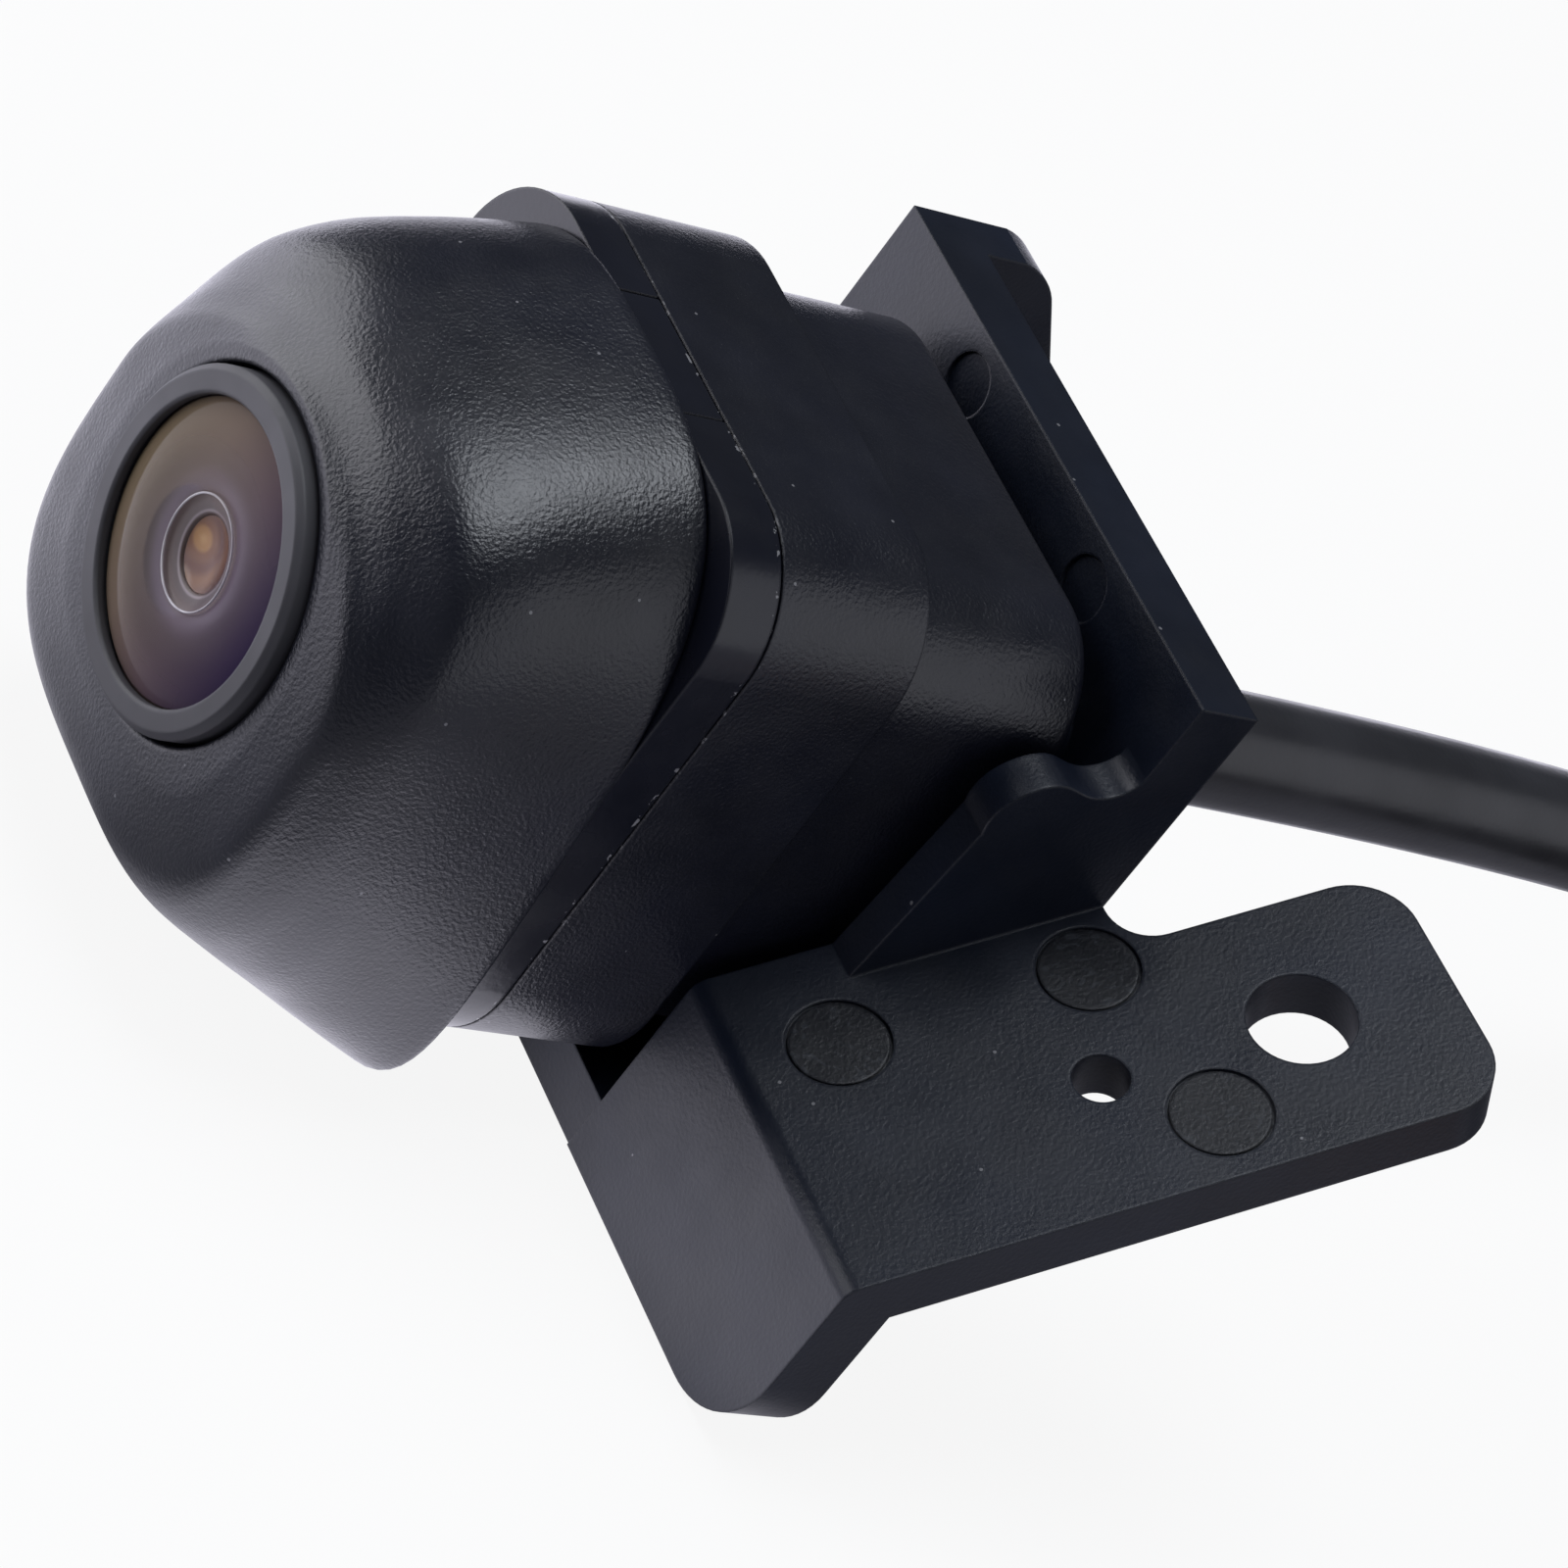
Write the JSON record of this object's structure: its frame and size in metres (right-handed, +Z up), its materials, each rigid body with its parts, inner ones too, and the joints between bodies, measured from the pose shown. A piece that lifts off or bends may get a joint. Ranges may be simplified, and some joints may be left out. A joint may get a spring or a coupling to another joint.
{
  "type": "backup camera",
  "caption": "Small square-bodied reversing camera with a domed lens nose, in a moulded angle bracket with a slanted screw wing, and its coiled cable ending in a sealed connector.",
  "frame": {"origin": "middle of the bracket's flat base pad, which lies on Z = 0", "axes": "+Y from the lens to the back along the optical axis, +X to the side that has the screw wing, +Z up"},
  "size_m": [0.0768, 0.1488, 0.0283],
  "materials": {
    "grained_black_plastic": "fine leather grain, satin",
    "smooth_black_plastic": "moulded smooth, half gloss",
    "bracket_plastic": "moulded, fine even matt",
    "lens_ring_satin": "satin black coating",
    "barrel_aluminium": "black anodised",
    "coated_glass": "ground glass with a brown-violet coating",
    "clear_glass": "polished",
    "filter_glass": "polished, blue-green filter coating",
    "spacer_plastic": "matt black",
    "seal_rubber": "smooth black rubber",
    "gland_rubber": "smooth black rubber",
    "sensor_package": "ceramic package with a dark window",
    "board_laminate": "green solder mask",
    "screw_steel": "zinc plated",
    "screw_black": "black oxide",
    "header_plastic": "matt black",
    "component_black": "matt black",
    "shield_tin": "tin plated",
    "white_plastic": "natural nylon",
    "wire_insulation": "smooth vinyl insulation",
    "clamp_steel": "stainless",
    "cable_jacket": "satin black jacket",
    "tie_nylon": "black nylon",
    "connector_plastic": "moulded, satin",
    "terminal_tin": "tin plated",
    "connector_seal": "red-brown silicone",
    "lock_plastic": "orange nylon, satin"
  },
  "bodies": {
    "camera": {"nose_cover": "grained_black_plastic", "front_housing": "smooth_black_plastic", "rear_housing": "grained_black_plastic", "housing_gasket": "seal_rubber", "lens_ring": "lens_ring_satin", "lens_barrel": "barrel_aluminium", "barrel_o_ring": "seal_rubber", "front_lens": "coated_glass", "front_lens_spacer": "spacer_plastic", "second_lens": "clear_glass", "third_lens": "clear_glass", "rear_lens_spacer": "spacer_plastic", "aperture_stop": "spacer_plastic", "rear_lens": "clear_glass", "infrared_filter": "filter_glass", "image_sensor": "sensor_package", "sensor_board": "board_laminate", "sensor_board_screws": "screw_steel", "board_header": "header_plastic", "power_board": "board_laminate", "power_board_parts": "component_black", "shield_can": "shield_tin", "wire_header": "white_plastic", "wire_plug": "white_plastic", "core_wires": "wire_insulation", "cable_clamp": "clamp_steel", "cable_gland": "gland_rubber", "bracket": "bracket_plastic", "bracket_screws": "screw_black", "cable": "cable_jacket", "cable_coil": "cable_jacket", "coil_ties": "tie_nylon", "cable_tail": "cable_jacket", "connector_housing": "connector_plastic", "connector_terminals": "terminal_tin", "wire_seal": "connector_seal", "interface_seal": "connector_seal"},
    "terminal_lock": {"terminal_lock": "lock_plastic"},
    "connector_latch": {"connector_latch": "connector_plastic"}
  },
  "joints": [
    {"name": "terminal_lock_slide", "type": "slide", "parent": "camera", "child": "terminal_lock", "axis": [0, -1, 0], "range_m": [0, 0.002]},
    {"name": "connector_latch_hinge", "type": "hinge", "parent": "camera", "child": "connector_latch", "pos_m": [0.0565, 0.05, 0.0103], "axis": [-1, 0, 0], "range_deg": [0, 5], "stiffness_Nm_per_rad": 0.02}
  ]
}
